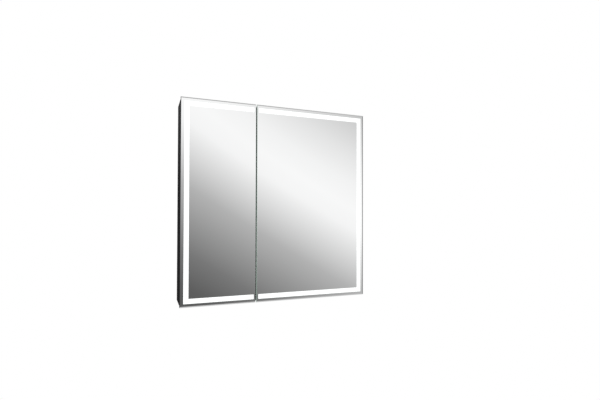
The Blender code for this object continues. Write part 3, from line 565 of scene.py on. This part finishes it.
def tape_material():
    """A white flexible circuit with a yellow phosphor square every 8 mm."""
    material, shader = new_material("led_tape", TAPE_WHITE, 0.55)
    cells = node(material, "ShaderNodeTexVoronoi", feature="F1", distance="CHEBYCHEV")
    cells.inputs["Scale"].default_value = 1.0
    cells.inputs["Randomness"].default_value = 0.0
    link(material, object_point(material, (125.0, 125.0, 125.0)), cells.inputs["Vector"])
    chip = calc(material, "LESS_THAN", cells.outputs["Distance"], 0.22)
    link(material, mix_colours(material, chip, TAPE_WHITE, PHOSPHOR),
         shader.inputs["Base Color"])
    bump(material, shader, chip, 0.5, 0.0003)
    return material


def coated_steel(name, colour, roughness, wear):
    """Coated steel, thinly worn to bare metal on its sharp edges."""
    material, shader = new_material(name, colour, roughness, 0.7)
    sharp = node(material, "ShaderNodeNewGeometry").outputs["Pointiness"]
    worn = rescale(material, sharp, 0.56, 0.64, 0.0, wear)
    low = tuple(value * 0.85 for value in colour)
    high = tuple(min(1.0, value * 1.15) for value in colour)
    coat = two_shades(material, noise(material, 120.0), (low, high))
    link(material, mix_colours(material, worn, coat, BARE_STEEL), shader.inputs["Base Color"])
    varied_roughness(material, shader, noise(material, 200.0), roughness * 0.8, roughness * 1.2)
    bump(material, shader, noise(material, 1200.0), 0.1, 0.0001)
    return material


def make_materials():
    return {
        "mirror": mirror_material("silvered_mirror", (0.0, -1.0, 0.0)),
        "inner_mirror": mirror_material("silvered_inner_mirror", (0.0, 1.0, 0.0)),
        "window": window_material(),
        "carcass": two_tone_metal("anodised_carcass", -0.2, level_in_carcass),
        "frame": two_tone_metal("anodised_frame", 0.2, level_in_frame),
        "zinc": brushed_metal("zinc_plate", (0.58, 0.59, 0.60), 0.34, (1.0, 0.4, 1.0),
                              strength=0.04),
        "hinge": coated_steel("black_hinge", (0.045, 0.045, 0.047), 0.38, wear=0.35),
        "sheet": brushed_metal("coated_sheet", (0.64, 0.65, 0.66), 0.42, (0.02, 1.0, 1.0),
                               metallic=0.8),
        "board": moulded_plastic("laminated_board", (0.68, 0.69, 0.69), 0.50, 0.006),
        "shelf": shelf_material(),
        "white": moulded_plastic("white_plastic", (0.82, 0.82, 0.80), 0.36),
        "grey": moulded_plastic("grey_plastic", (0.20, 0.205, 0.21), 0.45),
        "dark": moulded_plastic("dark_plastic", (0.035, 0.035, 0.038), 0.45, 0.006),
        "cable": moulded_plastic("cable_sheath", (0.80, 0.80, 0.78), 0.48),
        "rubber": moulded_plastic("seal_rubber", (0.045, 0.045, 0.045), 0.70, 0.008),
        "bumper": moulded_plastic("clear_bumper", (0.60, 0.62, 0.62), 0.25),
        "tape": tape_material(),
    }


# ---------------------------------------------------------------- mesh helpers

def add_piece(name, shape, material, body):
    """A finished mesh piece that rides on a body and takes its finish from a slot."""
    mesh = bpy.data.meshes.new(name)
    shape.to_mesh(mesh)
    shape.free()
    piece = bpy.data.objects.new(name, mesh)
    mesh.materials.append(material)
    bpy.context.scene.collection.objects.link(piece)
    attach(piece, body)
    return piece


def smooth_by_angle(piece, degrees=30.0):
    piece.data.shade_smooth()
    piece.data.set_sharp_from_angle(angle=math.radians(degrees))


def turned(shape, profile, centre, axis, segments=24):
    """Adds a solid of revolution; the profile's points are (radius, distance along axis)."""
    turn = Vector((0.0, 0.0, 1.0)).rotation_difference(Vector(axis)).to_matrix().to_4x4()
    place = Matrix.Translation(centre) @ turn
    rings = []
    for radius, along in profile:
        if radius == 0.0:
            rings.append([shape.verts.new(place @ Vector((0.0, 0.0, along)))])
            continue
        ring = []
        for step in range(segments):
            angle = 2 * math.pi * step / segments
            point = Vector((radius * math.cos(angle), radius * math.sin(angle), along))
            ring.append(shape.verts.new(place @ point))
        rings.append(ring)
    for lower, upper in zip(rings, rings[1:]):
        for step in range(segments):
            after = (step + 1) % segments
            corners = [lower[step % len(lower)], lower[after % len(lower)],
                       upper[after % len(upper)], upper[step % len(upper)]]
            unique = list(dict.fromkeys(corners))
            if len(unique) > 2:
                shape.faces.new(unique)


def cross_screw(shape, centre, axis, radius=SCREW_HEAD, height=SCREW_CROWN):
    """A countersunk head: a low crown with a sunk centre."""
    profile = [(radius * across, height * along) for across, along in SCREW_SHARES]
    turned(shape, profile, centre, axis, SCREW_SEGMENTS)


def rounded_bar(shape, low, high, radius, segments=3):
    """Adds a box with rounded edges to a mesh in the making."""
    low, high = Vector(low), Vector(high)
    made = bmesh.new()
    bmesh.ops.create_cube(made, size=1.0)
    bmesh.ops.scale(made, vec=high - low, verts=made.verts)
    bmesh.ops.translate(made, vec=(low + high) / 2, verts=made.verts)
    bmesh.ops.bevel(made, geom=list(made.edges), offset=radius, segments=segments,
                    affect="EDGES", profile=0.5)
    part = bpy.data.meshes.new("bar")
    made.to_mesh(part)
    made.free()
    shape.from_mesh(part)
    bpy.data.meshes.remove(part)


def prism(points, low_y, high_y):
    """A closed prism of an XZ outline between two depths, as a new mesh in the making."""
    shape = bmesh.new()
    ring = [shape.verts.new((across, low_y, height)) for across, height in points]
    face = shape.faces.new(ring)
    grown = bmesh.ops.extrude_face_region(shape, geom=[face])
    moved = [item for item in grown["geom"] if isinstance(item, bmesh.types.BMVert)]
    bmesh.ops.translate(shape, vec=(0.0, high_y - low_y, 0.0), verts=moved)
    bmesh.ops.recalc_face_normals(shape, faces=shape.faces)
    return shape


def cut_away(target, cutter_shape):
    """Cuts a prism out of an object and keeps the result as its mesh."""
    mesh = bpy.data.meshes.new("cutter")
    cutter_shape.to_mesh(mesh)
    cutter_shape.free()
    cutter = bpy.data.objects.new("cutter", mesh)
    bpy.context.scene.collection.objects.link(cutter)
    step = target.modifiers.new("slot", "BOOLEAN")
    step.operation = "DIFFERENCE"
    step.solver = "EXACT"
    step.object = cutter
    bpy.context.view_layer.update()
    graph = bpy.context.evaluated_depsgraph_get()
    result = bpy.data.meshes.new_from_object(target.evaluated_get(graph))
    target.modifiers.clear()
    target.data = result
    bpy.data.objects.remove(cutter)


# ---------------------------------------------------------------- pieces

def dress_nodes(materials):
    """Gives every carried-over CAD node its procedural material."""
    looks = {
        "side_panel": "carcass", "top_panel": "carcass", "bottom_panel": "carcass",
        "back_panel": "board", "service_cover": "sheet", "led_driver": "white",
        "terminal_block": "white", "cable_gland": "grey", "lead": "cable", "shelf": "shelf",
        "support": "zinc", "wall_plate": "zinc", "hanger": "zinc", "adjusting_screw": "zinc",
        "socket_outlet": "white", "switch_housing": "white", "switch_button": "white",
        "body_leaf": "hinge", "door_leaf": "hinge", "hinge_pin": "zinc",
        "catch_magnet": "dark", "strike_plate": "zinc", "inner_mirror": "inner_mirror",
        "light_window": "window", "door_frame": "frame", "led_tape": "tape", "mirror": "mirror",
    }
    for name, item in NODES.items():
        key = next(key for key in looks if name.endswith(key))
        item.data.materials.clear()
        item.data.materials.append(materials[looks[key]])
        smooth_by_angle(item, 28.0)


def slot_outline(window, side):
    """The U around a light window, a hair wider, as (x, z) points from its upper free end."""
    low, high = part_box(window)
    outer_x, free_x = (low.x, high.x) if side < 0 else (high.x, low.x)
    width = WINDOW_WIDTH + 2 * SURFACE_GAP
    outer_x += side * SURFACE_GAP
    free_x -= side * SURFACE_GAP
    inner_x = outer_x - side * width
    outer_z = high.z + SURFACE_GAP
    inner_z = outer_z - width
    return [(free_x, outer_z), (outer_x, outer_z), (outer_x, -outer_z), (free_x, -outer_z),
            (free_x, -inner_z), (inner_x, -inner_z), (inner_x, inner_z), (free_x, inner_z)]


def bevelled_panes(materials):
    """The front mirrors: a wide polished bevel, narrow at the gap and the left hinge edge."""
    for word, side in SIDES:
        low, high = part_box(f"{word}_mirror")
        rise = low.y + GLASS_BEVEL_DEPTH
        corners = [(low.x, low.z), (high.x, low.z), (high.x, high.z), (low.x, high.z)]
        shape = prism(corners, rise, high.y)
        front = min(shape.faces, key=lambda face: face.calc_center_median().y)
        bmesh.ops.inset_region(shape, faces=[front], thickness=GLASS_BEVEL,
                               depth=GLASS_BEVEL_DEPTH, use_even_offset=True)
        gap_edge = high.x if side < 0 else low.x
        for corner in front.verts:
            if abs(corner.co.x - gap_edge) < 2 * GLASS_BEVEL:
                corner.co.x = gap_edge + side * ARRIS
            elif side < 0:
                corner.co.x = low.x + LEFT_BEVEL
        pane = add_piece(f"{word}_bevelled_mirror", shape, materials["mirror"],
                         f"{word}_door")
        outline = slot_outline(f"{word}_light_window", side)
        cut_away(pane, prism(outline, low.y - CUT_OVERRUN, high.y + CUT_OVERRUN))
        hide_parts(f"{word}_mirror")


def edge_seals(materials):
    """A soft lip along the carcass's top and bottom front edges, which the doors close on."""
    panel_low, panel_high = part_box("top_panel")
    front = panel_low.y
    middle = (panel_low.z + panel_high.z) / 2
    for word, height in (("top", middle), ("bottom", -middle)):
        shape = bmesh.new()
        low = (panel_low.x + SEAL_END, front - SEAL_PROUD, height - SEAL_HALF_HEIGHT)
        high = (panel_high.x - SEAL_END, front + SEAL_SUNK, height + SEAL_HALF_HEIGHT)
        rounded_bar(shape, low, high, SEAL_ROUNDING)
        seal = add_piece(f"{word}_edge_seal", shape, materials["rubber"], "carcass")
        smooth_by_angle(seal)


def door_bumpers(materials):
    """Small clear domes on the back of each door near its free corners."""
    for word, side in SIDES:
        low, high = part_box(f"{word}_door_frame")
        across = high.x - BUMPER_INSET if side < 0 else low.x + BUMPER_INSET
        shape = bmesh.new()
        for height in (high.z - BUMPER_FROM_TOP, low.z + BUMPER_FROM_BASE):
            turned(shape, BUMPER_PROFILE, (across, high.y, height), (0.0, 1.0, 0.0))
        piece = add_piece(f"{word}_door_bumpers", shape, materials["bumper"], f"{word}_door")
        smooth_by_angle(piece, 50.0)


def body_leaf_screws(materials, word, side, place):
    """Four screws through a body leaf into the side panel."""
    low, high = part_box(f"{word}_{place}_body_leaf")
    inner_face = high.x if side < 0 else low.x
    shape = bmesh.new()
    for height in (low.z + BODY_SCREW_END, high.z - BODY_SCREW_END):
        for depth in BODY_SCREW_DEPTHS:
            cross_screw(shape, (inner_face, high.y - depth, height), (-side, 0.0, 0.0),
                        LEAF_SCREW, LEAF_SCREW_CROWN)
    screws = add_piece(f"{word}_{place}_body_leaf_screws", shape, materials["zinc"], "carcass")
    smooth_by_angle(screws)


def door_leaf_screws(materials, word, side, place):
    """Three screws through a door leaf into the door frame."""
    low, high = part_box(f"{word}_{place}_door_leaf")
    across = low.x + DOOR_SCREW_INSET if side > 0 else high.x - DOOR_SCREW_INSET
    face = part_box(f"{word}_door_frame")[1].y + LEAF_FACE
    shape = bmesh.new()
    for height in (low.z + DOOR_SCREW_END, (low.z + high.z) / 2, high.z - DOOR_SCREW_END):
        cross_screw(shape, (across, face, height), (0.0, 1.0, 0.0), LEAF_SCREW,
                    LEAF_SCREW_CROWN)
    screws = add_piece(f"{word}_{place}_door_leaf_screws", shape, materials["zinc"],
                       f"{word}_door")
    smooth_by_angle(screws)


def hinge_screws(materials):
    for word, side in SIDES:
        for place in ("upper", "lower"):
            body_leaf_screws(materials, word, side, place)
            door_leaf_screws(materials, word, side, place)


def cover_screws(materials):
    """Six screws that hold the service cover."""
    low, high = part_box("service_cover")
    columns = (low.x + COVER_SCREW_END, (low.x + high.x) / 2 - COVER_SCREW_SHIFT,
               high.x - COVER_SCREW_END)
    shape = bmesh.new()
    for across in columns:
        for height in (low.z + COVER_SCREW_EDGE, high.z - COVER_SCREW_EDGE):
            cross_screw(shape, (across, low.y, height), (0.0, -1.0, 0.0))
    screws = add_piece("service_cover_screws", shape, materials["zinc"], "carcass")
    smooth_by_angle(screws)


def back_panel_pins(materials):
    """Flat-headed nails that hold the back panel to the carcass."""
    low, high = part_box("back_panel")
    shape = bmesh.new()
    spots = [(across, height) for height in (low.z + PIN_INSET, high.z - PIN_INSET)
             for across in PIN_COLUMNS]
    spots += [(across, height) for across in (low.x + PIN_INSET, high.x - PIN_INSET)
              for height in PIN_ROWS]
    for across, height in spots:
        turned(shape, PIN_PROFILE, (across, high.y, height), (0.0, 1.0, 0.0), PIN_SEGMENTS)
    pins = add_piece("back_panel_pins", shape, materials["zinc"], "carcass")
    smooth_by_angle(pins)


def socket_details(materials):
    """The rim of the socket's well and its two earth clips."""
    low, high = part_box("socket_outlet")
    middle = (low + high) / 2
    shape = bmesh.new()
    turned(shape, RIM_PROFILE, (middle.x, low.y, middle.z), (0.0, -1.0, 0.0), RIM_SEGMENTS)
    rim = add_piece("socket_rim", shape, materials["white"], "carcass")
    smooth_by_angle(rim, 40.0)
    clips = bmesh.new()
    start, end = CLIP_DEPTHS
    for side in (-1, 1):
        height = middle.z + side * CLIP_REACH
        rounded_bar(clips, (middle.x - CLIP_HALF_WIDTH, low.y + start, height - CLIP_HALF_HEIGHT),
                    (middle.x + CLIP_HALF_WIDTH, low.y + end, height + CLIP_HALF_HEIGHT),
                    CLIP_ROUNDING)
    contact = add_piece("socket_earth_clips", clips, materials["zinc"], "carcass")
    smooth_by_angle(contact)


def switch_ring(materials):
    """The light ring on the face of the switch button."""
    low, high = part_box("switch_button")
    middle = (low + high) / 2
    shape = bmesh.new()
    turned(shape, RING_PROFILE, (middle.x, low.y, middle.z), (0.0, -1.0, 0.0), RING_SEGMENTS)
    ring = add_piece("switch_light_ring", shape, materials["window"], "switch_button")
    smooth_by_angle(ring, 40.0)


def dress_object():
    materials = make_materials()
    dress_nodes(materials)
    bevelled_panes(materials)
    edge_seals(materials)
    door_bumpers(materials)
    hinge_screws(materials)
    cover_screws(materials)
    back_panel_pins(materials)
    socket_details(materials)
    switch_ring(materials)


set_studio()
dress_object()
